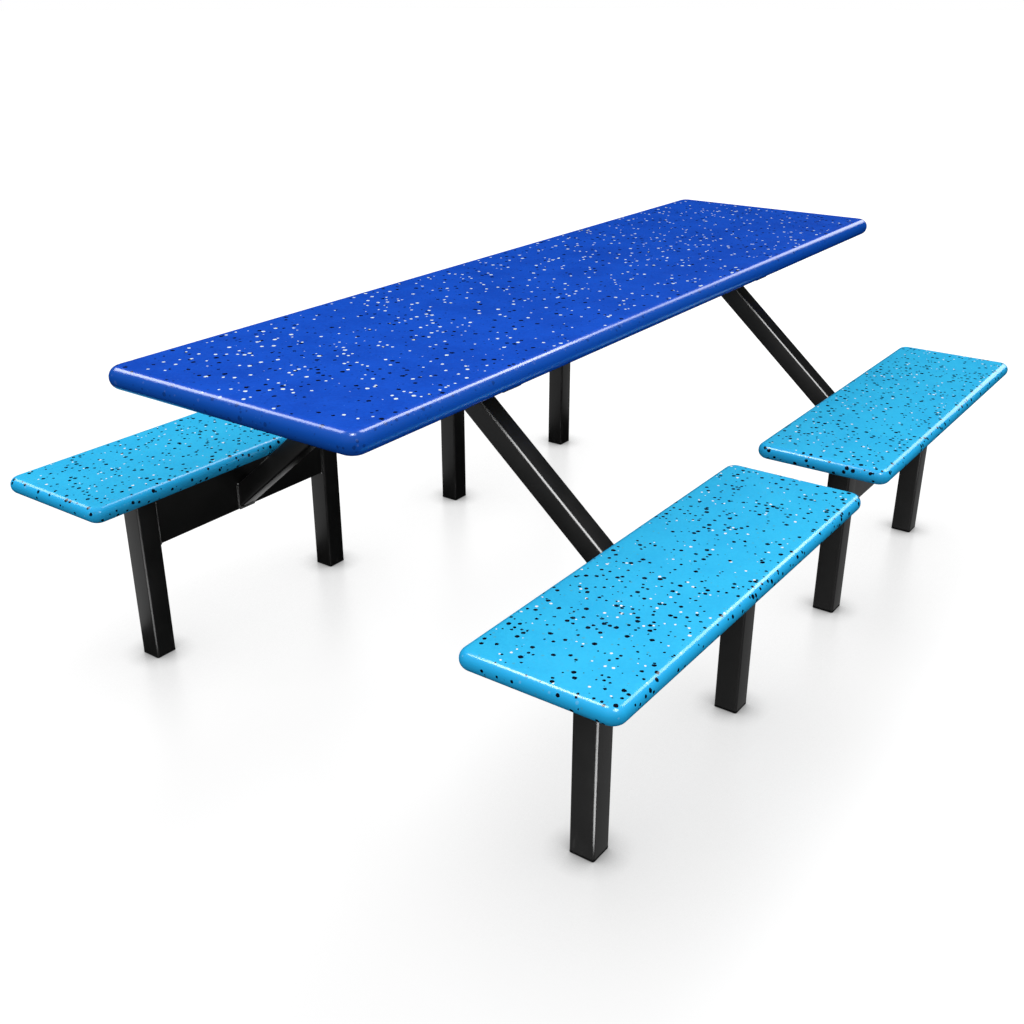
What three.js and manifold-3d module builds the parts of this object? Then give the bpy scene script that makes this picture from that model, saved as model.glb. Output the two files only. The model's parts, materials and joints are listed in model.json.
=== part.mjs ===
// Canteen table with four two-person benches on one welded frame of steel tube.
// Millimetres, +Z up. X runs along the table, Y across it. The origin is on the floor under the
// middle of the table. Front is the -Y side and left is the -X side.

import * as THREE from 'three';
import { mergeVertices } from 'three/addons/utils/BufferGeometryUtils.js';
import Module from 'manifold-3d';

const wasm = await Module();
wasm.setup();

// Table top
const TABLE_LENGTH = 2050;
const TABLE_WIDTH = 574;
const TABLE_HEIGHT = 760;
const TABLE_THICKNESS = 40;
const TABLE_FLAT_CORNER_RADIUS = 12;

// Bench seats
const SEAT_LENGTH = 927;
const SEAT_WIDTH = 289;
const SEAT_HEIGHT = 442;
const SEAT_THICKNESS = 34;
const SEAT_FLAT_CORNER_RADIUS = 9;
const SEAT_END_GAP = 122;
const SEAT_TABLE_GAP = 139;

// Moulded skins and the core boards that they wrap round
const SKIN_THICKNESS = 4;
const EDGE_FLAT = 1;
const RETURN_LIP = 25;
const LIP_CORNER_RADIUS = 15;
const CORE_CLEARANCE = 0.3;

// Bench legs and their feet
const LEG_TUBE = 50;
const LEG_WALL = 2;
const LEG_CORNER_RADIUS = 4;
const LEG_SPACING = 540;
const LEG_INBOARD = 12;
const FOOT_FLANGE = 5;
const FOOT_CHAMFER = 1.2;
const FOOT_SPIGOT = 22;

// Rail between the two legs of a bench
const RAIL_WIDTH = 40;
const RAIL_WALL = 2;
const RAIL_CORNER_RADIUS = 4;
const RAIL_DROP = 27;

// Flat bars that the seats are screwed to
const SEAT_PLATE_LENGTH = 220;
const SEAT_PLATE_WIDTH = 60;
const SEAT_PLATE_THICKNESS = 5;
const SEAT_PLATE_CORNER_RADIUS = 8;
const SCREW_HOLE = 6;
const SCREW_EDGE_DISTANCE = 15;

// Struts from the bench rails up to the table
const STRUT_TUBE = 45;
const STRUT_WALL = 2;
const STRUT_CORNER_RADIUS = 4;
const STRUT_TOP_OFFSET = 82;
const STRUT_SEAT_CLEARANCE = 2;
const STRUT_WELD_MARGIN = 3;

// Frame under the table top: one spine with an arm over each strut
const SPINE_END_INSET = 275;
const SPINE_WIDTH = 60;
const SPINE_HEIGHT = 40;
const SPINE_WALL = 2;
const SPINE_SCREW_INSET = 120;
const ARM_WIDTH = 60;
const ARM_HEIGHT = 40;
const ARM_WALL = 2;
const ARM_REACH = 205;
const ARM_SCREW_INSET = 45;
const TOP_FRAME_CORNER_RADIUS = 3;

// End plugs of the tubes
const PLUG_FLANGE = 3;
const PLUG_CHAMFER = 0.8;
const PLUG_SPIGOT = 14;
const PLUG_WALL = 2.5;
const PLUG_CLEARANCE = 0.3;

// Room left where two pieces are welded or screwed together
const JOINT_GAP = 0.3;

// How far a cutting body runs past the face that it cuts
const CUT_MARGIN = 2;

// Straight steps of the round forms: corners count them in an eighth of a turn, bullnose edges
// in a quarter
const SKIN_OUTSIDE = { corner: 3, edge: 5 };
const SKIN_INSIDE = { corner: 1, edge: 3 };
const CORNER_STEPS = 1;
const HOLE_SIDES = 8;

// Places that follow from the sizes
const SEAT_X = (SEAT_LENGTH + SEAT_END_GAP) / 2;
const SEAT_Y = TABLE_WIDTH / 2 + SEAT_TABLE_GAP + SEAT_WIDTH / 2;
const TABLE_UNDERSIDE = TABLE_HEIGHT - TABLE_THICKNESS;
const SEAT_UNDERSIDE = SEAT_HEIGHT - SEAT_THICKNESS;
const SPINE_LENGTH = TABLE_LENGTH - 2 * SPINE_END_INSET;
const TOP_FRAME_TOP = TABLE_UNDERSIDE - JOINT_GAP;
const ARM_UNDERSIDE = TOP_FRAME_TOP - ARM_HEIGHT;
const SEAT_PLATE_UNDERSIDE = SEAT_UNDERSIDE - JOINT_GAP - SEAT_PLATE_THICKNESS;
const LEG_TOP = SEAT_PLATE_UNDERSIDE - JOINT_GAP;
const LEG_BOTTOM = FOOT_FLANGE + JOINT_GAP;
const RAIL_TOP = LEG_TOP - RAIL_DROP;
const RAIL_FACE = LEG_INBOARD + RAIL_WIDTH / 2;

const FINISHES = {
  tableSkin: new THREE.MeshStandardMaterial({ color: 0x1a52c6, roughness: 0.32, metalness: 0 }),
  seatSkin: new THREE.MeshStandardMaterial({ color: 0x34b9f2, roughness: 0.32, metalness: 0 }),
  board: new THREE.MeshStandardMaterial({ color: 0x8a6f4d, roughness: 0.85, metalness: 0 }),
  steel: new THREE.MeshStandardMaterial({ color: 0x1b1b1c, roughness: 0.4, metalness: 0.4 }),
  plastic: new THREE.MeshStandardMaterial({ color: 0x101010, roughness: 0.6, metalness: 0 }),
};

const TABLE_PANEL = {
  length: TABLE_LENGTH,
  width: TABLE_WIDTH,
  thickness: TABLE_THICKNESS,
  flatCorner: TABLE_FLAT_CORNER_RADIUS,
};

const SEAT_PANEL = {
  length: SEAT_LENGTH,
  width: SEAT_WIDTH,
  thickness: SEAT_THICKNESS,
  flatCorner: SEAT_FLAT_CORNER_RADIUS,
};

// The line of a strut in its bench's own frame, as Y and Z: it runs down from the arm, passes
// just under the round edge of the seat and ends on the rail
const STRUT_HEAD = new THREE.Vector2(SEAT_Y - STRUT_TOP_OFFSET, ARM_UNDERSIDE);
const SEAT_EDGE = edgeRadius(SEAT_PANEL);
const SEAT_EDGE_CENTRE = new THREE.Vector2(SEAT_WIDTH / 2 - SEAT_EDGE, SEAT_UNDERSIDE + SEAT_EDGE);
const STRUT_CLEAR = SEAT_EDGE + STRUT_SEAT_CLEARANCE + STRUT_TUBE / 2;
const EDGE_TO_HEAD = STRUT_HEAD.clone().sub(SEAT_EDGE_CENTRE);
const STRUT_ANGLE = EDGE_TO_HEAD.angle() + Math.asin(STRUT_CLEAR / EDGE_TO_HEAD.length());
const STRUT_RUN = STRUT_HEAD.x - RAIL_FACE;
const STRUT_FOOT = new THREE.Vector2(RAIL_FACE, STRUT_HEAD.y - STRUT_RUN * Math.tan(STRUT_ANGLE));

// The rail reaches down just past the strut's lower edge
const RAIL_BOTTOM = STRUT_FOOT.y - STRUT_TUBE / 2 / Math.cos(STRUT_ANGLE) - STRUT_WELD_MARGIN;
const RAIL_HEIGHT = RAIL_TOP - RAIL_BOTTOM;

// A closed solid that can be cut and joined
function solid(geometry) {
  const bare = geometry.clone();
  bare.deleteAttribute('normal');
  bare.deleteAttribute('uv');
  const merged = mergeVertices(bare);
  return new wasm.Manifold(new wasm.Mesh({
    numProp: 3,
    vertProperties: merged.attributes.position.array,
    triVerts: Uint32Array.from(merged.index.array),
  }));
}

function surface(body) {
  const mesh = body.getMesh();
  const geometry = new THREE.BufferGeometry();
  geometry.setAttribute('position', new THREE.BufferAttribute(mesh.vertProperties, 3));
  geometry.setIndex(new THREE.BufferAttribute(mesh.triVerts, 1));
  geometry.computeVertexNormals();
  return geometry;
}

// Outline of a rectangle about its centre, with round corners
function roundedRectangle(width, height, radius) {
  const path = new THREE.Shape();
  const x = width / 2 - radius;
  const y = height / 2 - radius;
  path.absarc(x, y, radius, 0, Math.PI / 2);
  path.absarc(-x, y, radius, Math.PI / 2, Math.PI);
  path.absarc(-x, -y, radius, Math.PI, 1.5 * Math.PI);
  path.absarc(x, -y, radius, 1.5 * Math.PI, 2 * Math.PI);
  path.closePath();
  return path;
}

function prism(width, height, radius, depth) {
  const outline = roundedRectangle(width, height, radius);
  const settings = { depth, bevelEnabled: false, curveSegments: CORNER_STEPS };
  return new THREE.ExtrudeGeometry(outline, settings);
}

function edgeRadius(panel) {
  return (panel.thickness - EDGE_FLAT) / 2;
}

// The panel's body with a full bullnose all round, set in from its surface on every side
function bullnose(panel, inset, detail) {
  const radius = edgeRadius(panel) - inset;
  const outline = roundedRectangle(
    panel.length - 2 * inset,
    panel.width - 2 * inset,
    panel.flatCorner + radius,
  );
  const geometry = new THREE.ExtrudeGeometry(outline, {
    depth: EDGE_FLAT,
    bevelThickness: radius,
    bevelSize: radius,
    bevelOffset: -radius,
    bevelSegments: detail.edge,
    curveSegments: detail.corner,
  });
  geometry.translate(0, 0, inset + radius);
  return solid(geometry);
}

// The mouth under a panel, inside the lip that the skin turns in below its edge
function mouth(panel, inset, bottom) {
  const setIn = 2 * (edgeRadius(panel) + RETURN_LIP + inset);
  const top = panel.thickness / 2;
  const geometry = prism(
    panel.length - setIn,
    panel.width - setIn,
    LIP_CORNER_RADIUS - inset,
    top - bottom,
  );
  geometry.translate(0, 0, bottom);
  return solid(geometry);
}

function skinGeometry(panel) {
  const outside = bullnose(panel, 0, SKIN_OUTSIDE);
  const inside = bullnose(panel, SKIN_THICKNESS, SKIN_INSIDE);
  return surface(outside.subtract(inside).subtract(mouth(panel, 0, -CUT_MARGIN)));
}

// The core fills the skin and comes down through the mouth, level with the lip
function coreGeometry(panel) {
  const filling = bullnose(panel, SKIN_THICKNESS + CORE_CLEARANCE, SKIN_INSIDE);
  return surface(filling.add(mouth(panel, CORE_CLEARANCE, 0)));
}

// A rectangular tube along +Z from the origin, open at both ends
function tube(width, height, wall, radius, length) {
  const outside = prism(width, height, radius, length);
  const inside = prism(
    width - 2 * wall,
    height - 2 * wall,
    Math.max(radius - wall, wall / 2),
    length + 2 * CUT_MARGIN,
  );
  inside.translate(0, 0, -CUT_MARGIN);
  return surface(solid(outside).subtract(solid(inside)));
}

// A push-in end plug for a tube along +Z: its flange lies under z = 0 and its spigot above
function plugGeometry(bore, flange, chamfer, spigot) {
  const rim = roundedRectangle(
    bore.width + 2 * bore.wall,
    bore.height + 2 * bore.wall,
    bore.radius,
  );
  const flangeGeometry = new THREE.ExtrudeGeometry(rim, {
    depth: flange - 2 * chamfer,
    bevelThickness: chamfer,
    bevelSize: chamfer,
    bevelOffset: -chamfer,
    bevelSegments: 1,
    curveSegments: CORNER_STEPS,
  });
  flangeGeometry.translate(0, 0, chamfer - flange);
  const width = bore.width - 2 * PLUG_CLEARANCE;
  const height = bore.height - 2 * PLUG_CLEARANCE;
  const radius = Math.max(bore.radius - bore.wall, bore.wall / 2);
  const root = flange / 2;
  const sleeve = prism(width, height, radius, spigot + root);
  sleeve.translate(0, 0, -root);
  const hollow = prism(
    width - 2 * PLUG_WALL,
    height - 2 * PLUG_WALL,
    radius / 2,
    spigot + CUT_MARGIN,
  );
  return surface(solid(flangeGeometry).add(solid(sleeve)).subtract(solid(hollow)));
}

// A round hole along Z for a screw, right through a piece that reaches no further than height
// from z = 0
function screwHole(x, y, height) {
  const depth = 2 * (height + CUT_MARGIN);
  const geometry = new THREE.CylinderGeometry(SCREW_HOLE / 2, SCREW_HOLE / 2, depth, HOLE_SIDES);
  geometry.rotateX(Math.PI / 2);
  geometry.translate(x, y, 0);
  return solid(geometry);
}

function drilled(geometry, places, height) {
  const holes = places.map(([x, y]) => screwHole(x, y, height));
  return surface(holes.reduce((rest, hole) => rest.subtract(hole), solid(geometry)));
}

function seatPlateGeometry() {
  const plate = prism(
    SEAT_PLATE_WIDTH,
    SEAT_PLATE_LENGTH,
    SEAT_PLATE_CORNER_RADIUS,
    SEAT_PLATE_THICKNESS,
  );
  const x = SEAT_PLATE_WIDTH / 2 - SCREW_EDGE_DISTANCE;
  const y = SEAT_PLATE_LENGTH / 2 - SCREW_EDGE_DISTANCE;
  return drilled(plate, [[x, y], [-x, y], [-x, -y], [x, -y]], SEAT_PLATE_THICKNESS);
}

// A strut in its bench's own frame, rising towards +Y: cut upright where it meets the rail,
// level where it meets the arm, and upright on the table's centre line
function strutGeometry() {
  const overlength = 2 * STRUT_TUBE;
  const length = STRUT_FOOT.distanceTo(STRUT_HEAD) + 2 * overlength;
  const uncut = tube(STRUT_TUBE, STRUT_TUBE, STRUT_WALL, STRUT_CORNER_RADIUS, length);
  uncut.translate(0, 0, -overlength);
  uncut.rotateX(STRUT_ANGLE - Math.PI / 2);
  uncut.translate(0, STRUT_FOOT.x, STRUT_FOOT.y);
  const start = RAIL_FACE + JOINT_GAP;
  const end = SEAT_Y - JOINT_GAP / 2;
  const top = ARM_UNDERSIDE - JOINT_GAP;
  const room = new THREE.BoxGeometry(2 * STRUT_TUBE, end - start, top);
  room.translate(0, (start + end) / 2, top / 2);
  return surface(solid(uncut).intersect(solid(room)));
}

// An arm along +Y from the spine, with its open end closed by a plug
function armGeometry() {
  const length = ARM_REACH - PLUG_FLANGE - SPINE_WIDTH / 2 - 2 * JOINT_GAP;
  const arm = tube(ARM_WIDTH, ARM_HEIGHT, ARM_WALL, TOP_FRAME_CORNER_RADIUS, length);
  arm.rotateX(-Math.PI / 2);
  arm.translate(0, SPINE_WIDTH / 2 + JOINT_GAP, 0);
  return drilled(arm, [[0, ARM_REACH - ARM_SCREW_INSET]], ARM_HEIGHT);
}

function spineGeometry() {
  const length = SPINE_LENGTH - 2 * (PLUG_FLANGE + JOINT_GAP);
  const spine = tube(SPINE_HEIGHT, SPINE_WIDTH, SPINE_WALL, TOP_FRAME_CORNER_RADIUS, length);
  spine.rotateY(Math.PI / 2);
  spine.translate(-length / 2, 0, 0);
  const end = SPINE_LENGTH / 2 - SPINE_SCREW_INSET;
  return drilled(spine, [[-end, 0], [0, 0], [end, 0]], SPINE_HEIGHT);
}

function railGeometry() {
  const length = LEG_SPACING - LEG_TUBE - 2 * JOINT_GAP;
  const rail = tube(RAIL_HEIGHT, RAIL_WIDTH, RAIL_WALL, RAIL_CORNER_RADIUS, length);
  rail.rotateY(Math.PI / 2);
  rail.translate(-length / 2, 0, 0);
  return rail;
}

function bore(width, height, wall, radius) {
  return { width: width - 2 * wall, height: height - 2 * wall, wall, radius };
}

function piece(name, geometry, finish, x, y, z) {
  const mesh = new THREE.Mesh(geometry, finish);
  mesh.name = name;
  mesh.position.set(x, y, z);
  return mesh;
}

function tableTop() {
  const group = new THREE.Group();
  group.position.z = TABLE_UNDERSIDE;
  group.add(piece('table_top_skin', skinGeometry(TABLE_PANEL), FINISHES.tableSkin, 0, 0, 0));
  group.add(piece('table_top_core', coreGeometry(TABLE_PANEL), FINISHES.board, 0, 0, 0));
  return group;
}

function topFrame(benches) {
  const group = new THREE.Group();
  group.position.z = TOP_FRAME_TOP;
  group.add(piece('spine_beam', spineGeometry(), FINISHES.steel, 0, 0, -SPINE_HEIGHT / 2));
  const spineBore = bore(SPINE_HEIGHT, SPINE_WIDTH, SPINE_WALL, TOP_FRAME_CORNER_RADIUS);
  const spinePlug = plugGeometry(spineBore, PLUG_FLANGE, PLUG_CHAMFER, PLUG_SPIGOT);
  for (const [side, direction] of [['left', 1], ['right', -1]]) {
    const place = -direction * (SPINE_LENGTH / 2 - PLUG_FLANGE);
    const plug = piece(`spine_plug_${side}`, spinePlug, FINISHES.plastic, place, 0, -SPINE_HEIGHT / 2);
    plug.rotation.y = direction * Math.PI / 2;
    group.add(plug);
  }
  const arm = armGeometry();
  const armBore = bore(ARM_WIDTH, ARM_HEIGHT, ARM_WALL, TOP_FRAME_CORNER_RADIUS);
  const armPlug = plugGeometry(armBore, PLUG_FLANGE, PLUG_CHAMFER, PLUG_SPIGOT);
  for (const { name, x, turn } of benches) {
    const pair = new THREE.Group();
    pair.position.set(x, 0, -ARM_HEIGHT / 2);
    pair.rotation.z = turn + Math.PI;
    pair.add(piece(`${name}_arm`, arm, FINISHES.steel, 0, 0, 0));
    const plug = piece(`${name}_arm_plug`, armPlug, FINISHES.plastic, 0, ARM_REACH - PLUG_FLANGE, 0);
    plug.rotation.x = Math.PI / 2;
    pair.add(plug);
    group.add(pair);
  }
  return group;
}

const SEAT_SKIN = skinGeometry(SEAT_PANEL);
const SEAT_CORE = coreGeometry(SEAT_PANEL);
const SEAT_PLATE = seatPlateGeometry();
const LEG = tube(LEG_TUBE, LEG_TUBE, LEG_WALL, LEG_CORNER_RADIUS, LEG_TOP - LEG_BOTTOM);
const LEG_BORE = bore(LEG_TUBE, LEG_TUBE, LEG_WALL, LEG_CORNER_RADIUS);
const FOOT = plugGeometry(LEG_BORE, FOOT_FLANGE, FOOT_CHAMFER, FOOT_SPIGOT);
const RAIL = railGeometry();
const STRUT = strutGeometry();

// One bench in its own frame: the table is on its +Y side
function bench({ name, x, y, turn, outward }) {
  const group = new THREE.Group();
  group.position.set(x, y, 0);
  group.rotation.z = turn;
  group.add(piece(`${name}_seat_skin`, SEAT_SKIN, FINISHES.seatSkin, 0, 0, SEAT_UNDERSIDE));
  group.add(piece(`${name}_seat_core`, SEAT_CORE, FINISHES.board, 0, 0, SEAT_UNDERSIDE));
  group.add(piece(`${name}_rail`, RAIL, FINISHES.steel, 0, LEG_INBOARD, (RAIL_TOP + RAIL_BOTTOM) / 2));
  group.add(piece(`${name}_strut`, STRUT, FINISHES.steel, 0, 0, 0));
  for (const [end, direction] of [['outer', outward], ['inner', -outward]]) {
    const legX = direction * LEG_SPACING / 2;
    group.add(piece(`${name}_${end}_leg`, LEG, FINISHES.steel, legX, LEG_INBOARD, LEG_BOTTOM));
    group.add(piece(`${name}_${end}_foot`, FOOT, FINISHES.plastic, legX, LEG_INBOARD, FOOT_FLANGE));
    group.add(piece(`${name}_${end}_plate`, SEAT_PLATE, FINISHES.steel, legX, 0, SEAT_PLATE_UNDERSIDE));
  }
  return group;
}

const BENCHES = [
  { name: 'front_left', x: -SEAT_X, y: -SEAT_Y, turn: 0, outward: -1 },
  { name: 'front_right', x: SEAT_X, y: -SEAT_Y, turn: 0, outward: 1 },
  { name: 'back_left', x: -SEAT_X, y: SEAT_Y, turn: Math.PI, outward: 1 },
  { name: 'back_right', x: SEAT_X, y: SEAT_Y, turn: Math.PI, outward: -1 },
];

const canteenTable = new THREE.Group();
canteenTable.add(tableTop());
canteenTable.add(topFrame(BENCHES));
BENCHES.forEach((place) => canteenTable.add(bench(place)));

export default canteenTable;
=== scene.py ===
"""Looks of the canteen table: moulded panels, welded tube frame, screws, finishes and a plain studio."""

import json
import logging
import math
from collections.abc import Callable
from dataclasses import dataclass
from enum import Enum
from functools import cached_property

import bmesh
import bpy
from mathutils import Matrix, Vector


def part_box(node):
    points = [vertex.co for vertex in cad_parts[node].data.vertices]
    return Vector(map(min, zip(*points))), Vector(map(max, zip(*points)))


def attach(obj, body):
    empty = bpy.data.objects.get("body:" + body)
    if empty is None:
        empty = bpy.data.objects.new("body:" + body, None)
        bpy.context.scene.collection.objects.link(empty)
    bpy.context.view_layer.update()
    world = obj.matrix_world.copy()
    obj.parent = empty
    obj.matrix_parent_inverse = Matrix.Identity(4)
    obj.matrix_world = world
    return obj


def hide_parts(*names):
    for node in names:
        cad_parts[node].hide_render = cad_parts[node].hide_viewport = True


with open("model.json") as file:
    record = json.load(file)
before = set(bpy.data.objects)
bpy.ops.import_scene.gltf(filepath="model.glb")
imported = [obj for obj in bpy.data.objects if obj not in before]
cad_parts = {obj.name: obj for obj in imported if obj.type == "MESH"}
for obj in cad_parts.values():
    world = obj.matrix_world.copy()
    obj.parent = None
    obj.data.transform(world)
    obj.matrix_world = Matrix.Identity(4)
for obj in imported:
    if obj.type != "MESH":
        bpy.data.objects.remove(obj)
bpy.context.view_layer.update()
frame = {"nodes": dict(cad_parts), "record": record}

LOG = logging.getLogger("canteen_table")
BODY = "root"

# Lengths, and heights of corners, that differ by less than these count as the same, in metres
CLOSE = 1e-5
LEVEL = 1e-6
# What points this much along an axis, of 1 in all, counts as running along it
ALONG = 0.999
SMOOTH_ANGLE = math.radians(32)
SKY_SAMPLES = 8
HEXAGON = 6

Colour = tuple[float, float, float, float]
Triple = tuple[float, float, float]
Pair = tuple[float, float]
Socket = bpy.types.NodeSocket
Piece = bpy.types.Object

NOISE_MIDDLE: Triple = (0.5, 0.5, 0.5)

# The numbers of a Mix node's sockets that are for colours
MIX_MASK, MIX_FIRST, MIX_SECOND, MIX_RESULT = 0, 6, 7, 2


def grey(level: float) -> Colour:
    """Gives an even grey."""
    return (level, level, level, 1.0)


FULL_LIGHT = grey(1.0)
NO_LIGHT = grey(0.0)


class Group(Enum):
    """What a lamp or a card shows on."""

    TABLE = "shows_on_table"
    SEATS = "shows_on_seats"
    FRONT_SEATS = "shows_on_front_seats"
    BACK_SEAT = "shows_on_back_seat"
    FRAME = "shows_on_frame"
    PLUGS = "shows_on_plugs"
    NEAR_LEG = "shows_on_near_leg"
    LEFT_LEG = "shows_on_left_leg"
    RIGHT_LEG = "shows_on_right_leg"
    FLOOR = "shows_on_floor"
    MIRRORED = "mirrored_in_floor"


class Slot(Enum):
    """The material slots of the part's record."""

    TABLE = "table_gelcoat"
    SEAT = "seat_gelcoat"
    BOARD = "core_board"
    FRAME = "frame_black"
    PLUG = "plug_plastic"
    SCREW = "screw_steel"

    @property
    def group(self) -> Group:
        """Says which lamps and cards show on pieces with this finish."""
        own = {Slot.TABLE: Group.TABLE, Slot.SEAT: Group.SEATS, Slot.PLUG: Group.PLUGS}
        return own.get(self, Group.FRAME)


class Corner(Enum):
    """The four benches, named by where they stand."""

    FRONT_LEFT = "front_left"
    FRONT_RIGHT = "front_right"
    BACK_LEFT = "back_left"
    BACK_RIGHT = "back_right"

    @property
    def turned(self) -> bool:
        """Says whether this bench faces the other way from the first."""
        return self in (Corner.BACK_LEFT, Corner.BACK_RIGHT)

    def node(self, part: str) -> str:
        """Gives the name of one of this bench's solids."""
        return f"{self.value}_{part}"


# Pieces with lamps or cards of their own, besides those of their finish
OWN_LIGHTS: dict[str, Group] = {
    "front_left_seat_panel": Group.FRONT_SEATS,
    "front_right_seat_panel": Group.FRONT_SEATS,
    "back_left_seat_panel": Group.BACK_SEAT,
    "front_left_outer_leg_tube": Group.NEAR_LEG,
    "back_left_outer_leg_tube": Group.LEFT_LEG,
    "front_right_outer_leg_tube": Group.RIGHT_LEG,
}
# How the names end of the pieces that show dark in the floor
MIRRORED_PARTS = ("_leg_tube", "_foot")


class Axis(Enum):
    """A direction that a tube runs in."""

    X = 0
    Y = 1
    Z = 2


class Pick(Enum):
    """What a selection is made of."""

    FACES = "FACE"
    EDGES = "EDGE"
    VERTICES = "VERT"


class Value:
    """A number socket that takes part in sums; each operation adds one Math node."""

    def __init__(self, graph: "Graph", socket: Socket) -> None:
        """Keeps the graph and the socket."""
        self.graph = graph
        self.socket = socket

    def math(self, operation: str, first: "Value | float", second: "Value | float") -> "Value":
        """Adds a Math node and gives its result."""
        node = self.graph.node("ShaderNodeMath", {"operation": operation}, {0: first, 1: second})
        return Value(self.graph, node.outputs[0])

    def __add__(self, other: "Value | float") -> "Value":
        """Adds."""
        return self.math("ADD", self, other)

    def __radd__(self, other: float) -> "Value":
        """Adds, from the right."""
        return self.math("ADD", other, self)

    def __sub__(self, other: "Value | float") -> "Value":
        """Subtracts."""
        return self.math("SUBTRACT", self, other)

    def __rsub__(self, other: float) -> "Value":
        """Subtracts from a number."""
        return self.math("SUBTRACT", other, self)

    def __mul__(self, other: "Value | float") -> "Value":
        """Multiplies."""
        return self.math("MULTIPLY", self, other)

    def __rmul__(self, other: float) -> "Value":
        """Multiplies, from the right."""
        return self.math("MULTIPLY", other, self)

    def __lt__(self, other: "Value | float") -> "Value":
        """Gives 1 where this is the smaller, and 0 elsewhere."""
        return self.math("LESS_THAN", self, other)

    def at_least(self, least: float) -> "Value":
        """Gives this, or a least value where it is smaller."""
        return self.math("MAXIMUM", self, least)


class Graph:
    """The node tree of one material or of the world."""

    def __init__(self, tree: bpy.types.NodeTree) -> None:
        """Empties the tree and keeps it."""
        tree.nodes.clear()
        self.tree = tree

    def node(
        self,
        kind: str,
        settings: dict[str, object] | None = None,
        sockets: dict[str | int, object] | None = None,
    ) -> bpy.types.Node:
        """Makes any node.

        Args:
            kind: the node's type.
            settings: what is set on the node first.
            sockets: the values or links of its sockets.

        Returns:
            The node.
        """
        made = self.tree.nodes.new(kind)
        for name, setting in (settings or {}).items():
            setattr(made, name, setting)
        for key, value in (sockets or {}).items():
            if isinstance(value, Value):
                value = value.socket
            if isinstance(value, Socket):
                self.tree.links.new(value, made.inputs[key])
            else:
                made.inputs[key].default_value = value
        return made

    @cached_property
    def place(self) -> Socket:
        """Gives the coordinates of a material's piece."""
        return self.node("ShaderNodeTexCoord").outputs["Object"]

    def mix(self, mask: Value | float, first: object, second: object) -> Socket:
        """Lays as much of a second colour over a first as the mask says, and gives the mixed colour."""
        sockets = {MIX_MASK: mask, MIX_FIRST: first, MIX_SECOND: second}
        return self.node("ShaderNodeMix", {"data_type": "RGBA"}, sockets).outputs[MIX_RESULT]

    def noise(self, size: float, detail: float = 2.0, place: Socket | None = None) -> Value:
        """Makes soft noise from 0 to 1, in blots of a size in metres, with finer layers in them."""
        sockets = {"Vector": place or self.place, "Scale": 1 / size, "Detail": detail}
        return Value(self, self.node("ShaderNodeTexNoise", None, sockets).outputs[0])

    def step(self, value: Value, low: float, high: float) -> Value:
        """Rises smoothly from 0 to 1.

        Args:
            value: what is measured.
            low: where the rise starts.
            high: where it ends.

        Returns:
            The rise.
        """
        sockets = {"Value": value, "From Min": low, "From Max": high}
        node = self.node("ShaderNodeMapRange", {"interpolation_type": "SMOOTHSTEP"}, sockets)
        return Value(self, node.outputs[0])

    def stretch(self, scale: Triple) -> Socket:
        """Multiplies the piece's coordinates by a factor along each axis."""
        return self.node("ShaderNodeMapping", None, {"Vector": self.place, "Scale": scale}).outputs[0]

    def vector(self, operation: str, first: Socket, second: object) -> Socket:
        """Adds a Vector Math node and gives its result; SCALE takes a number as the second value."""
        sockets = {0: first, "Scale" if operation == "SCALE" else 1: second}
        return self.node("ShaderNodeVectorMath", {"operation": operation}, sockets).outputs[0]

    def height(self, place: Socket) -> Value:
        """Gives the height over the floor."""
        return Value(self, self.node("ShaderNodeSeparateXYZ", None, {0: place}).outputs[2])

    def open_sky(self, reach: float) -> Value:
        """Gives how much of the space overhead is free of pieces within reach, from 0 to 1."""
        looker = self.node("ShaderNodeAmbientOcclusion", {"samples": SKY_SAMPLES}, {"Distance": reach})
        return Value(self, looker.outputs["AO"])

    def bump(self, height: Value, depth: float) -> Socket:
        """Gives the normal of a relief, where a height of 1 stands for the depth, in metres."""
        return self.node("ShaderNodeBump", None, {"Height": height, "Distance": depth}).outputs[0]


@dataclass(frozen=True)
class Finish:
    """A finish of the part; each kind says what it feeds to the shader."""

    name: str

    def material(self) -> bpy.types.Material:
        """Makes the material of this finish.

        Returns:
            The material.
        """
        material = bpy.data.materials.new(self.name)
        material.use_nodes = True
        graph = Graph(material.node_tree)
        shader = graph.node("ShaderNodeBsdfPrincipled", None, self.shader_sockets(graph))
        graph.node("ShaderNodeOutputMaterial", None, {"Surface": shader.outputs[0]})
        return material

    def shader_sockets(self, graph: Graph) -> dict[str, object]:
        """Gives the values and links of the shader's sockets."""
        raise NotImplementedError


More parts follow.
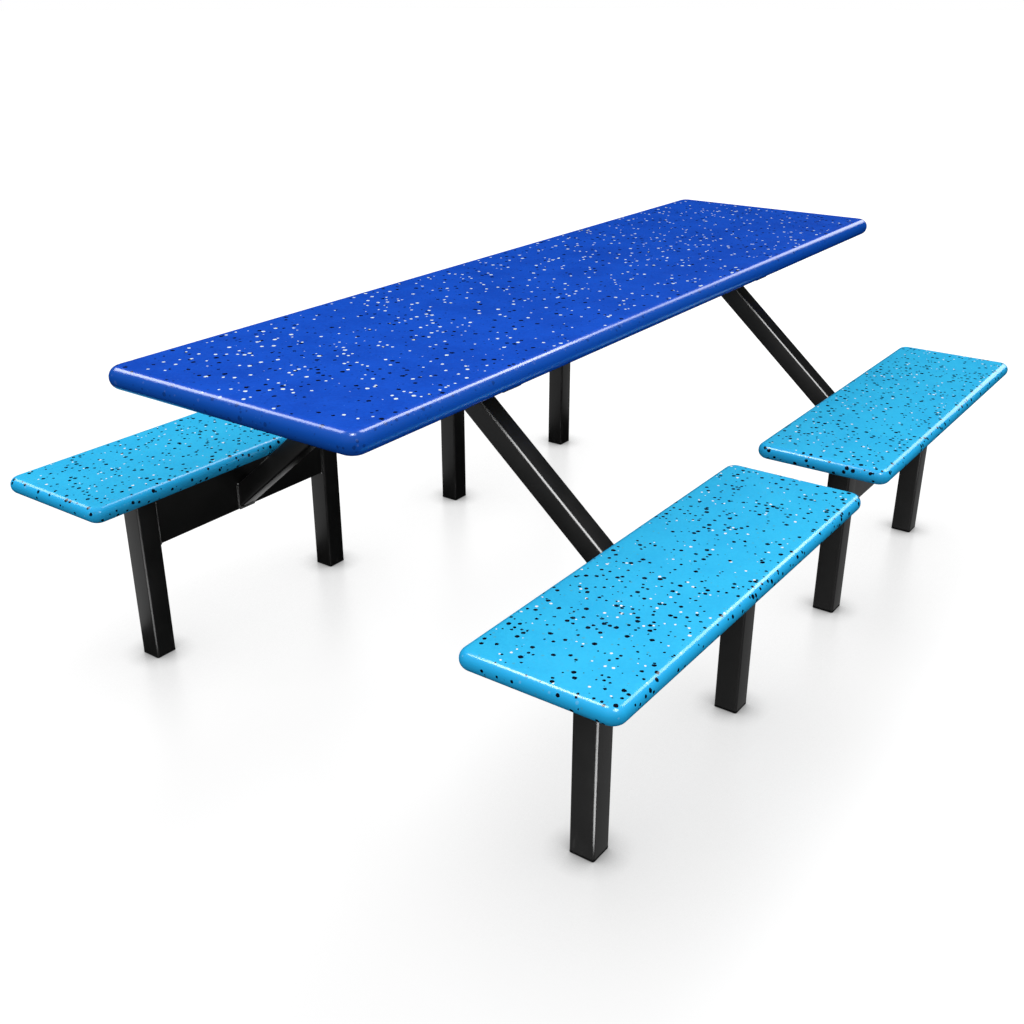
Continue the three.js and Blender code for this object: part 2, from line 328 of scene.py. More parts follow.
@dataclass(frozen=True)
class Speck:
    """One kind of speck scattered through a gelcoat, with sizes in metres."""

    colour: Colour
    spacing: float
    radius: float
    share: float
    cover: float
    rim_cover: float
    shift: float
    smallest: float = 0.55
    softness: float = 0.03

    def mask(self, graph: Graph, place: Socket, flat: Value) -> Value:
        """Draws the specks.

        Args:
            graph: the material's graph.
            place: the coordinates.
            flat: 1 on the flat of the panel, 0 on its rim.

        Returns:
            How much the specks cover, from 0 to 1.
        """
        cells = graph.node(
            "ShaderNodeTexVoronoi",
            {"voronoi_dimensions": "3D", "feature": "F1"},
            {"Vector": graph.vector("ADD", place, (self.shift,) * 3), "Scale": 1 / self.spacing},
        )
        chance = graph.node("ShaderNodeSeparateColor", None, {0: cells.outputs["Color"]})
        size = Value(graph, chance.outputs[0]) * (1 - self.smallest) + self.smallest
        reach = size * (self.radius / self.spacing) - Value(graph, cells.outputs["Distance"])
        there = Value(graph, chance.outputs[1]) < self.share
        cover = flat * (self.cover - self.rim_cover) + self.rim_cover
        return graph.step(reach, 0.0, self.softness) * there * cover


@dataclass(frozen=True)
class Gelcoat(Finish):
    """Glossy pigmented resin with specks."""

    colour: Colour
    shade: Colour
    # Painted shade: the round edge takes a tint of its own, more saturated than the flat and on the table
    # darker, added to the shading that the lamps give
    rim: Colour
    crown: float
    specks: tuple[Speck, ...]
    crown_fade: float = 0.0028
    gloss: float = 0.16
    gloss_spread: float = 0.08
    cloud_size: float = 0.09
    mottle_size: float = 0.006
    mottle_share: float = 0.4
    shade_span: Pair = (0.35, 0.68)
    ragged: float = 0.0022
    ragged_size: float = 0.0045
    wave_size: float = 0.03
    wave_depth: float = 0.00002

    def shader_sockets(self, graph: Graph) -> dict[str, object]:
        """Gives the values and links of the shader's sockets.

        Args:
            graph: the material's graph.

        Returns:
            The sockets by name.
        """
        flat = graph.step(graph.height(graph.place), self.crown - self.crown_fade, self.crown)
        # Painted shade: below the crown the flat colour gives way to the rim's darker, more saturated tint
        colour = graph.mix(flat, self.rim, self.clouded(graph))
        uneven = self.uneven(graph)
        for speck in self.specks:
            colour = graph.mix(speck.mask(graph, uneven, flat), colour, speck.colour)
        return {
            "Base Color": colour,
            "Roughness": graph.noise(self.wave_size, detail=4.0) * self.gloss_spread + self.gloss,
            "Normal": graph.bump(graph.noise(self.wave_size, detail=1.0), self.wave_depth),
        }

    def clouded(self, graph: Graph) -> Socket:
        """Mixes the pigment's two shades, in clouds and in a fine mottle.

        Args:
            graph: the material's graph.

        Returns:
            The mixed colour.
        """
        cloud = graph.noise(self.cloud_size, detail=3.0) * (1 - self.mottle_share)
        mottle = graph.noise(self.mottle_size, detail=3.0) * self.mottle_share
        return graph.mix(graph.step(cloud + mottle, *self.shade_span), self.colour, self.shade)

    def uneven(self, graph: Graph) -> Socket:
        """Nudges the coordinates to and fro, so that the specks get ragged outlines.

        Args:
            graph: the material's graph.

        Returns:
            The uneven coordinates.
        """
        sockets = {"Vector": graph.place, "Scale": 1 / self.ragged_size}
        jitter = graph.node("ShaderNodeTexNoise", None, sockets).outputs["Color"]
        nudge = graph.vector("SCALE", graph.vector("SUBTRACT", jitter, NOISE_MIDDLE), self.ragged)
        return graph.vector("ADD", graph.place, nudge)


@dataclass(frozen=True)
class PowderCoat(Finish):
    """Black baked powder on steel, with a fine orange-peel skin and scuffs near the floor."""

    colour: Colour
    scuffed: Colour
    gloss: float = 0.3
    shine: float = 0.25
    peel_size: float = 0.0016
    peel_depth: float = 0.00002
    cloud_size: float = 0.05
    cloud_cover: float = 0.3
    cloud_dulling: float = 0.1
    scuff_height: float = 0.14
    scuff_size: float = 0.012
    scuff_stretch: Triple = (1.0, 1.0, 0.25)
    scuff_span: Pair = (0.58, 0.74)
    scuff_cover: float = 0.6
    scuff_dulling: float = 0.15

    def shader_sockets(self, graph: Graph) -> dict[str, object]:
        """Gives the values and links of the shader's sockets.

        Args:
            graph: the material's graph.

        Returns:
            The sockets by name.
        """
        cloud = graph.noise(self.cloud_size, detail=3.0)
        low = 1 - graph.step(graph.height(graph.place), 0.0, self.scuff_height)
        streak = graph.noise(self.scuff_size, detail=5.0, place=graph.stretch(self.scuff_stretch))
        scuff = graph.step(streak, *self.scuff_span) * low
        colour = graph.mix(cloud * self.cloud_cover, self.colour, self.scuffed)
        return {
            "Base Color": graph.mix(scuff * self.scuff_cover, colour, self.scuffed),
            "Roughness": cloud * self.cloud_dulling + scuff * self.scuff_dulling + self.gloss,
            "Specular IOR Level": self.shine,
            "Normal": graph.bump(graph.noise(self.peel_size), self.peel_depth),
        }


@dataclass(frozen=True)
class MouldedPlastic(Finish):
    """Matt black plastic with a fine grain."""

    colour: Colour
    worn: Colour
    grain_size: float = 0.0009
    grain_depth: float = 0.00004
    rub_size: float = 0.006
    rub_span: Pair = (0.5, 0.75)
    dullness: float = 0.5
    dullness_spread: float = 0.15

    def shader_sockets(self, graph: Graph) -> dict[str, object]:
        """Gives the values and links of the shader's sockets.

        Args:
            graph: the material's graph.

        Returns:
            The sockets by name.
        """
        grain = graph.noise(self.grain_size)
        rub = graph.step(graph.noise(self.rub_size, detail=4.0), *self.rub_span)
        return {
            "Base Color": graph.mix(rub, self.colour, self.worn),
            "Roughness": grain * self.dullness_spread + self.dullness,
            "Normal": graph.bump(grain, self.grain_depth),
        }


@dataclass(frozen=True)
class PressedBoard(Finish):
    """Raw pressed board with fibres and chips."""

    colour: Colour
    chip: Colour
    dust: Colour
    fibre_size: float = 0.0035
    fibre_stretch: Triple = (0.3, 1.0, 1.0)
    chip_span: Pair = (0.4, 0.62)
    cross_size: float = 0.0049
    cross_stretch: Triple = (1.0, 0.3, 1.0)
    dust_span: Pair = (0.55, 0.7)
    dust_cover: float = 0.6
    dullness: float = 0.7
    dullness_spread: float = 0.2
    relief: float = 0.0002

    def shader_sockets(self, graph: Graph) -> dict[str, object]:
        """Gives the values and links of the shader's sockets.

        Args:
            graph: the material's graph.

        Returns:
            The sockets by name.
        """
        fibre = graph.noise(self.fibre_size, detail=4.0, place=graph.stretch(self.fibre_stretch))
        cross = graph.noise(self.cross_size, detail=4.0, place=graph.stretch(self.cross_stretch))
        colour = graph.mix(graph.step(fibre, *self.chip_span), self.colour, self.chip)
        return {
            "Base Color": graph.mix(graph.step(cross, *self.dust_span) * self.dust_cover, colour, self.dust),
            "Roughness": fibre * self.dullness_spread + self.dullness,
            "Normal": graph.bump(fibre + cross, self.relief),
        }


@dataclass(frozen=True)
class ZincPlate(Finish):
    """Zinc plated steel."""

    colour: Colour
    dull: Colour
    bloom_size: float = 0.004
    bloom_span: Pair = (0.4, 0.65)
    dullness: float = 0.25
    dullness_spread: float = 0.25

    def shader_sockets(self, graph: Graph) -> dict[str, object]:
        """Gives the values and links of the shader's sockets.

        Args:
            graph: the material's graph.

        Returns:
            The sockets by name.
        """
        bloom = graph.noise(self.bloom_size, detail=4.0)
        return {
            "Base Color": graph.mix(graph.step(bloom, *self.bloom_span), self.colour, self.dull),
            "Metallic": 1.0,
            "Roughness": bloom * self.dullness_spread + self.dullness,
        }


@dataclass(frozen=True)
class StudioPaper(Finish):
    """The pale floor, glowing so that it stays white, with painted shadow in its glow by the feet and under
    the benches.
    """

    colour: Colour
    shade: Colour
    glow: float = 0.92
    foot_reach: float = 0.055
    bench_reach: float = 0.46
    bench_shade: float = 0.58
    sheen: float = 0.32
    mirror: float = 1.7
    cloud_size: float = 1.5

    def shader_sockets(self, graph: Graph) -> dict[str, object]:
        """Gives the values and links of the shader's sockets.

        Args:
            graph: the material's graph.

        Returns:
            The sockets by name.
        """
        # Painted shadow: the glow is dimmed where pieces close overhead hide the space above, by the feet
        # and under the benches
        painted_bench_shadow = graph.open_sky(self.bench_reach) * self.bench_shade + (1 - self.bench_shade)
        glow_with_painted_shadow = graph.open_sky(self.foot_reach) * painted_bench_shadow
        cloud = graph.noise(self.cloud_size, detail=1.0)
        return {
            "Base Color": graph.mix(cloud, self.colour, self.shade),
            "Roughness": self.sheen,
            "IOR": self.mirror,
            "Emission Color": graph.mix(glow_with_painted_shadow, NO_LIGHT, FULL_LIGHT),
            "Emission Strength": self.glow,
        }


WHITE = grey(0.95)
COOL_WHITE: Colour = (0.86, 0.98, 0.95, 1.0)
BLACK: Colour = (0.003, 0.004, 0.012, 1.0)
NAVY: Colour = (0.004, 0.03, 0.20, 1.0)
PALE_BLUE: Colour = (0.07, 0.24, 0.72, 1.0)
SLATE: Colour = (0.10, 0.34, 0.42, 1.0)

TABLE_GELCOAT = Gelcoat(
    name="table_gelcoat_blue",
    colour=(0.0080, 0.094, 0.655, 1.0),
    shade=(0.0062, 0.073, 0.545, 1.0),
    rim=(0.0050, 0.092, 0.53, 1.0),
    crown=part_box("table_top_skin")[1].z,
    specks=(
        Speck(PALE_BLUE, spacing=0.009, radius=0.0014, share=0.40, cover=0.45, rim_cover=0.2, shift=5.1),
        Speck(NAVY, spacing=0.010, radius=0.0024, share=0.40, cover=0.6, rim_cover=0.4, shift=4.3),
        Speck(BLACK, spacing=0.0135, radius=0.0050, share=0.25, cover=1.0, rim_cover=0.4, shift=1.7),
        Speck(COOL_WHITE, spacing=0.0135, radius=0.0041, share=0.29, cover=1.0, rim_cover=0.04, shift=3.9),
    ),
)
SEAT_GELCOAT = Gelcoat(
    name="seat_gelcoat_sky",
    colour=(0.0345, 0.535, 0.91, 1.0),
    shade=(0.0275, 0.48, 0.86, 1.0),
    rim=(0.020, 0.50, 0.97, 1.0),
    crown=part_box("front_left_seat_skin")[1].z,
    specks=(
        Speck(SLATE, spacing=0.011, radius=0.0028, share=0.30, cover=0.45, rim_cover=0.3, shift=5.1),
        Speck(WHITE, spacing=0.012, radius=0.0031, share=0.24, cover=1.0, rim_cover=0.1, shift=3.9),
        Speck(
            BLACK, spacing=0.012, radius=0.0048, share=0.6, smallest=0.4, cover=1.0, rim_cover=1.0, shift=1.7
        ),
    ),
)
FINISHES: dict[Slot, Finish] = {
    Slot.TABLE: TABLE_GELCOAT,
    Slot.SEAT: SEAT_GELCOAT,
    Slot.BOARD: PressedBoard(
        name="core_board_raw",
        colour=(0.20, 0.13, 0.075, 1.0),
        chip=(0.34, 0.24, 0.14, 1.0),
        dust=(0.46, 0.35, 0.22, 1.0),
    ),
    Slot.FRAME: PowderCoat(name="frame_powder_black", colour=grey(0.0045), scuffed=grey(0.016)),
    Slot.PLUG: MouldedPlastic(name="plug_plastic_black", colour=grey(0.009), worn=grey(0.022)),
    Slot.SCREW: ZincPlate(name="screw_zinc", colour=(0.62, 0.63, 0.64, 1.0), dull=(0.42, 0.43, 0.44, 1.0)),
}


class Shaping:
    """Edit mode on one piece, with selections made by place or normal."""

    def __init__(self, piece: Piece) -> None:
        """Keeps the piece."""
        self.piece = piece

    def __enter__(self) -> "Shaping":
        """Goes into edit mode.

        Returns:
            This, for the shaping to be done with.
        """
        bpy.context.view_layer.objects.active = self.piece
        bpy.ops.object.mode_set(mode="EDIT")
        return self

    def __exit__(self, *problem: object) -> None:
        """Goes back to object mode."""
        bpy.ops.object.mode_set(mode="OBJECT")

    def pick(self, kind: Pick, test: Callable[..., bool]) -> None:
        """Selects what passes a test, and nothing else.

        Args:
            kind: faces, edges or vertices.
            test: what a face, edge or vertex has to pass.
        """
        bpy.ops.mesh.select_mode(type=kind.value)
        bpy.ops.mesh.select_all(action="DESELECT")
        shape = bmesh.from_edit_mesh(self.piece.data)
        sets = {Pick.FACES: shape.faces, Pick.EDGES: shape.edges, Pick.VERTICES: shape.verts}
        for item in sets[kind]:
            if test(item):
                item.select_set(True)
        shape.select_flush_mode()
        bmesh.update_edit_mesh(self.piece.data)

    def bevel(self, radius: float, steps: int, corners: bool = False) -> None:
        """Rounds the picked edges, or the picked corners of a flat face.

        Args:
            radius: the radius of the round.
            steps: how many facets it has.
            corners: whether vertices are rounded.
        """
        bpy.ops.mesh.bevel(
            offset_type="OFFSET",
            offset=radius,
            segments=steps,
            profile=0.5,
            affect="VERTICES" if corners else "EDGES",
            clamp_overlap=False,
        )


def level_at(item: bmesh.types.BMEdge | bmesh.types.BMFace, height: float) -> bool:
    """Says whether all corners of an edge or face lie at a height."""
    return all(abs(corner.co.z - height) < LEVEL for corner in item.verts)


def runs_along(edge: bmesh.types.BMEdge, axis: Axis) -> bool:
    """Says whether an edge runs along an axis."""
    span = edge.verts[1].co - edge.verts[0].co
    return span.length > CLOSE and abs(span[axis.value]) > ALONG * span.length


def added(operator: Callable[..., set[str]], **settings: object) -> Piece:
    """Adds an object while everything else is deselected.

    Args:
        operator: the operator that adds it.
        settings: the operator's settings.

    Returns:
        The object.
    """
    bpy.ops.object.select_all(action="DESELECT")
    operator(**settings)
    return bpy.context.active_object


def take(piece: Piece) -> None:
    """Selects a piece alone and makes it the active one.

    Args:
        piece: the piece.
    """
    bpy.ops.object.select_all(action="DESELECT")
    piece.select_set(True)
    bpy.context.view_layer.objects.active = piece


def start_box(name: str, low: Vector, high: Vector) -> Piece:
    """Adds a cube that fills a box, as the start of a piece.

    Args:
        name: the piece's name.
        low: the box's lowest corner.
        high: its highest corner.

    Returns:
        The cube, with its place in its mesh.
    """
    piece = added(bpy.ops.mesh.primitive_cube_add, size=1.0, location=(low + high) / 2)
    piece.scale = high - low
    piece.name = piece.data.name = name
    settle(piece)
    return piece


def settle(piece: Piece) -> None:
    """Moves a piece's place, turn and scale into its mesh."""
    take(piece)
    bpy.ops.object.transform_apply(location=True, rotation=True, scale=True)


def thicken(piece: Piece, thickness: float) -> None:
    """Gives an open shell a wall of even thickness, inwards.

    Args:
        piece: the shell.
        thickness: the thickness of the wall.
    """
    solidify = piece.modifiers.new("wall", "SOLIDIFY")
    solidify.thickness = thickness
    solidify.offset = -1.0
    solidify.use_even_offset = True
    bpy.context.view_layer.objects.active = piece
    bpy.ops.object.modifier_apply(modifier=solidify.name)


def smooth(piece: Piece) -> None:
    """Shades the rounds of a piece smoothly and keeps its sharp edges."""
    take(piece)
    bpy.ops.object.shade_smooth_by_angle(angle=SMOOTH_ANGLE)


def copy_of(piece: Piece, name: str, move: Vector, turned: bool = False) -> Piece:
    """Copies a piece, with a mesh of its own.

    Args:
        piece: the piece to copy.
        name: the copy's name.
        move: how far the copy is moved, after any turn.
        turned: whether it is turned half round the upright axis through the origin first.

    Returns:
        The copy.
    """
    take(piece)
    bpy.ops.object.duplicate(linked=False)
    twin = bpy.context.active_object
    twin.name = twin.data.name = name
    twin.location = move
    twin.rotation_euler.z = math.pi if turned else 0.0
    settle(twin)
    return twin


def join(name: str, pieces: list[Piece]) -> Piece:
    """Joins pieces into one.

    Args:
        name: the joined piece's name.
        pieces: what is joined.

    Returns:
        The joined piece.
    """
    bpy.ops.object.select_all(action="DESELECT")
    for piece in pieces:
        piece.select_set(True)
    bpy.context.view_layer.objects.active = pieces[0]
    bpy.ops.object.join()
    joined = bpy.context.active_object
    joined.name = joined.data.name = name
    return joined


def middle(node: str) -> Vector:
    """Gives the middle of a solid's box."""
    low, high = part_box(node)
    return (low + high) / 2


def shift_between(first: str, node: str, turned: bool) -> Vector:
    """Gives how far a copy is moved to stand for another solid.

    Args:
        first: the solid that the piece was modelled for.
        node: the solid that the copy stands for.
        turned: whether the copy is turned half round first.

    Returns:
        The move.
    """
    start = middle(first)
    if turned:
        start = Vector((-start.x, -start.y, start.z))
    return middle(node) - start


class LightSets:
    """Which pieces each lamp and card shows on."""

    def __init__(self) -> None:
        """Makes an empty set for each group."""
        self.sets = {group: bpy.data.collections.new(group.value) for group in Group}

    def add(self, piece: Piece, group: Group) -> None:
        """Lets a group's lamps and cards show on a piece."""
        self.sets[group].objects.link(piece)

    def place(self, piece: Piece, group: Group) -> None:
        """Puts a piece in its finish's group and in those that its name gives it.

        Args:
            piece: the piece.
            group: the group of its finish.
        """
        self.add(piece, group)
        if piece.name in OWN_LIGHTS:
            self.add(piece, OWN_LIGHTS[piece.name])
        if piece.name.endswith(MIRRORED_PARTS):
            self.add(piece, Group.MIRRORED)

    def limit(self, light: Piece, group: Group) -> None:
        """Lets a lamp or card show only in the gloss of one group.

        Args:
            light: the lamp or card.
            group: what it shows on.
        """
        light.light_linking.receiver_collection = self.sets[group]
        light.visible_camera = False
        light.visible_diffuse = False
        light.visible_shadow = False


@dataclass
class Dresser:
    """Gives pieces their finish and their place in the part."""

    materials: dict[Slot, bpy.types.Material]
    lights: LightSets

    def dress(self, piece: Piece, slot: Slot, *nodes: str) -> None:
        """Finishes a piece and puts it in its place in the part.

        Args:
            piece: the piece.
            slot: the finish that it takes.
            nodes: the solids that it stands for.
        """
        piece.data.materials.clear()
        piece.data.materials.append(self.materials[slot])
        if nodes:
            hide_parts(*nodes)
        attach(piece, BODY)
        self.lights.place(piece, slot.group)
        LOG.info("%s: %d faces, finish %s", piece.name, len(piece.data.polygons), slot.value)

    def dress_solids(self) -> None:
        """Gives every solid of the part the finish that its slot names."""
        for part in frame["record"]["subparts"]:
            solid = frame["nodes"][part["node"]]
            slot = Slot(part["material_slot"])
            for holder in solid.material_slots:
                holder.material = self.materials[slot]
            self.lights.place(solid, slot.group)


@dataclass
class MouldedPanel:
    """A moulded panel with a full round edge and a lip turned in under it, open below for its board."""

    flat_corner: float
    edge_flat: float = 0.001
    skin: float = 0.004
    lip: float = 0.025
    lip_corner: float = 0.015
    corner_steps: int = 14
    edge_steps: int = 20
    crown_band: float = 0.004

    def build(self, node: str, name: str) -> Piece:
        """Models the panel.

        Args:
            node: the solid that it stands for.
            name: the piece's name.

        Returns:
            The panel.
        """
        low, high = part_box(node)
        edge = (high.z - low.z - self.edge_flat) / 2
        piece = start_box(name, low, high)
        with Shaping(piece) as shape:
            shape.pick(Pick.EDGES, lambda item: runs_along(item, Axis.Z))
            shape.bevel(edge + self.flat_corner, self.corner_steps)
            shape.pick(Pick.EDGES, lambda item: level_at(item, low.z) or level_at(item, high.z))
            shape.bevel(edge, self.edge_steps)
            shape.pick(Pick.FACES, lambda item: level_at(item, high.z))
            bpy.ops.mesh.inset(thickness=self.crown_band)
            self.open_mouth(shape, low, high, edge + self.lip)
            bpy.ops.mesh.select_all(action="SELECT")
            bpy.ops.mesh.normals_make_consistent(inside=False)
        thicken(piece, self.skin)
        smooth(piece)
        return piece

    def open_mouth(self, shape: Shaping, low: Vector, high: Vector, inset: float) -> None:
        """Cuts the mouth in the underside.

        The mouth's edge is joined to the panel while it hangs below, where the two match up without a
        twist, and is then raised level.

        Args:
            shape: the panel in edit mode.
            low: the panel's lowest corner.
            high: its highest corner.
            inset: how far the mouth lies inside the panel's outline.
        """
        shape.pick(Pick.FACES, lambda item: level_at(item, low.z))
        bpy.ops.mesh.delete(type="ONLY_FACE")
        span = high - low
        below = Vector(((low.x + high.x) / 2, (low.y + high.y) / 2, low.z - self.lip))
        bpy.ops.mesh.primitive_plane_add(size=1.0, location=below)
        bpy.ops.transform.resize(value=(span.x - 2 * inset, span.y - 2 * inset, 1.0), center_override=below)
        bpy.ops.mesh.select_mode(type="VERT")
        shape.bevel(self.lip_corner, self.corner_steps, corners=True)
        shape.pick(Pick.FACES, lambda item: level_at(item, below.z))
        bpy.ops.mesh.delete(type="ONLY_FACE")
        shape.pick(Pick.EDGES, lambda item: item.is_boundary or item.is_wire)
        bpy.ops.mesh.bridge_edge_loops()
        shape.pick(Pick.VERTICES, lambda item: item.co.z < low.z - self.lip / 2)
        bpy.ops.transform.translate(value=(0.0, 0.0, self.lip))


@dataclass
class SquareTube:
    """Square or oblong steel tube with rounded long edges and open ends."""

    wall: float = 0.002
    corner: float = 0.005
    corner_steps: int = 6

    def straight(self, name: str, low: Vector, high: Vector, axis: Axis) -> Piece:
        """Models a tube that fills a box.

        Args:
            name: the piece's name.
            low: the box's lowest corner.
            high: its highest corner.
            axis: the direction that the tube runs in.

        Returns:
            The tube.
        """
        piece = start_box(name, low, high)
        with Shaping(piece) as shape:
            shape.pick(Pick.EDGES, lambda item: runs_along(item, axis))
            shape.bevel(self.corner, self.corner_steps)
            shape.pick(Pick.FACES, lambda item: abs(item.normal[axis.value]) > ALONG)
            bpy.ops.mesh.delete(type="FACE")
        thicken(piece, self.wall)
        smooth(piece)
        return piece

    def slanted(self, name: str, low: Vector, high: Vector) -> Piece:
        """Models a strut that rises from an upright cut at low y to a level cut at its top.

        Args:
            name: the piece's name.
            low: the lowest corner of the strut's box.
            high: its highest corner.

        Returns:
            The strut.
        """
        size = high.x - low.x
        rise, reach = high.z - low.z, high.y - low.y
        angle = math.atan2(rise, reach)
        diagonal = math.hypot(rise, reach)
        uncut = Vector((-size / 2, -diagonal, 0)), Vector((size / 2, 2 * diagonal, size))
        piece = self.straight(name, *uncut, Axis.Y)
        piece.location = ((low.x + high.x) / 2, low.y, low.z)
        piece.rotation_euler.x = angle
        settle(piece)
        for place, normal in ((low, Vector((0, -1, 0))), (high, Vector((0, 0, 1)))):
            self.cut(piece, place, normal)
        smooth(piece)
        return piece

    @staticmethod
    def cut(piece: Piece, place: Vector, normal: Vector) -> None:
        """Cuts a tube off at a plane and closes the wall's end.

        Args:
            piece: the tube.
            place: a point on the plane.
            normal: the plane's normal, towards what is cut off.
        """
        with Shaping(piece) as shape:
            bpy.ops.mesh.select_all(action="SELECT")
            bpy.ops.mesh.bisect(plane_co=place, plane_no=normal, clear_outer=True)
            shape.pick(Pick.EDGES, lambda item: item.is_boundary)
            bpy.ops.mesh.bridge_edge_loops()


@dataclass
class WeldBead:
    """A rippled weld bead laid in the corner between two pieces."""

    radius: float = 0.0034
    pitch: float = 0.0032
    waist: float = 0.80
    tip: float = 0.55
    sides: int = 8

    def build(self, start: Vector, end: Vector) -> Piece:
        """Models a straight bead.

        Args:
            start: where the bead starts.
            end: where it ends.

        Returns:
            The bead.
        """
        length = (end - start).length
        rings = 2 * max(1, round(length / self.pitch))
        cylinder = bpy.ops.mesh.primitive_cylinder_add
        piece = added(cylinder, vertices=self.sides, radius=self.radius, depth=length)

        def ring_number(item: bmesh.types.BMVert) -> int:
            """Counts the rings up to a vertex."""
            return round((item.co.z / length + 0.5) * rings)

        with Shaping(piece) as shape:
            shape.pick(Pick.EDGES, lambda item: runs_along(item, Axis.Z))
            bpy.ops.mesh.subdivide(number_cuts=rings - 1)
            shape.pick(Pick.VERTICES, lambda item: ring_number(item) % 2 == 0)
            bpy.ops.transform.resize(value=(self.waist, self.waist, 1.0), center_override=(0.0, 0.0, 0.0))
            shape.pick(Pick.VERTICES, lambda item: ring_number(item) in (0, rings))
            bpy.ops.transform.resize(value=(self.tip, self.tip, 1.0), center_override=(0.0, 0.0, 0.0))
        piece.location = (start + end) / 2
        piece.rotation_euler = (end - start).to_track_quat("Z", "Y").to_euler()
        settle(piece)
        return piece

    def ring(self, low: Vector, high: Vector, axis: Axis) -> list[Piece]:
        """Models beads round the four sides of a flat oblong.

        Args:
            low: the oblong's lowest corner.
            high: its highest corner.
            axis: the direction that it faces.

        Returns:
            The four beads.
        """
        first, second = [index for index in range(3) if index != axis.value]
        turns = []
        for take_first, take_second in ((False, False), (True, False), (True, True), (False, True)):
            turn = low.copy()
            turn[first] = high[first] if take_first else low[first]
            turn[second] = high[second] if take_second else low[second]
            turns.append(turn)
        return [self.build(start, end) for start, end in zip(turns, turns[1:] + turns[:1])]


@dataclass
class SocketScrew:
    """A button-head screw with a hexagon socket, head down."""

    head: float = 0.0055
    head_height: float = 0.0032
    dome: float = 0.0018
    socket: float = 0.0019
    socket_depth: float = 0.0016
    shank: float = 0.0024
    sides: int = 24
    dome_steps: int = 4
    rim_slack: float = 0.2
    turn_slack: float = 0.02

    def build(self, length: float) -> Piece:
        """Models a screw whose head lies under the origin and whose shank rises from it.

        Args:
            length: the length of the shank.

        Returns:
            The screw.
        """
        cylinder = bpy.ops.mesh.primitive_cylinder_add
        piece = added(cylinder, vertices=self.sides, radius=self.head, depth=self.head_height)
        piece.location.z = -self.head_height / 2
        settle(piece)
        with Shaping(piece) as shape:
            shape.pick(Pick.EDGES, lambda item: level_at(item, -self.head_height))
            shape.bevel(self.dome, self.dome_steps)
            shape.pick(Pick.FACES, lambda item: level_at(item, -self.head_height))
            bpy.ops.mesh.inset(thickness=self.head - self.dome - self.socket)
            self.square_off_socket(shape)
            shape.pick(Pick.FACES, self.is_socket_mouth)
            bpy.ops.mesh.extrude_region_move(TRANSFORM_OT_translate={"value": (0, 0, self.socket_depth)})
            shape.pick(Pick.FACES, lambda item: level_at(item, 0.0))
            bpy.ops.mesh.inset(thickness=self.head - self.shank)
            bpy.ops.mesh.extrude_region_move(TRANSFORM_OT_translate={"value": (0, 0, length)})
            bpy.ops.mesh.select_all(action="SELECT")
            bpy.ops.mesh.normals_make_consistent(inside=False)
        smooth(piece)
        return piece

    def is_socket_mouth(self, face: bmesh.types.BMFace) -> bool:
        """Says whether a face is the one that the socket sinks from."""
        return level_at(face, -self.head_height) and len(face.verts) == self.sides

    def is_rim_vertex(self, item: bmesh.types.BMVert, angle: float) -> bool:
        """Says whether a vertex lies on the socket's rim, at an angle within a sixth of the turn.

        Args:
            item: the vertex.
            angle: the angle.

        Returns:
            Whether it lies there.
        """
        sixth = math.tau / HEXAGON
        at_mouth = abs(item.co.z + self.head_height) < CLOSE
        at_rim = abs(item.co.xy.length - self.socket) < self.socket * self.rim_slack
        off = abs(math.atan2(item.co.y, item.co.x) % sixth - angle)
        return at_mouth and at_rim and min(off, sixth - off) < self.turn_slack

    def square_off_socket(self, shape: Shaping) -> None:
        """Draws the round socket's rim in to a hexagon.

        Args:
            shape: the screw in edit mode.
        """
        flat = math.pi / HEXAGON
        for sector in range(self.sides // HEXAGON):
            angle = sector * math.tau / self.sides
            draw_in = math.cos(flat) / math.cos(angle - flat)
            shape.pick(Pick.VERTICES, lambda item: self.is_rim_vertex(item, angle))
            bpy.ops.transform.resize(value=(draw_in, draw_in, 1.0), center_override=(0.0, 0.0, 0.0))


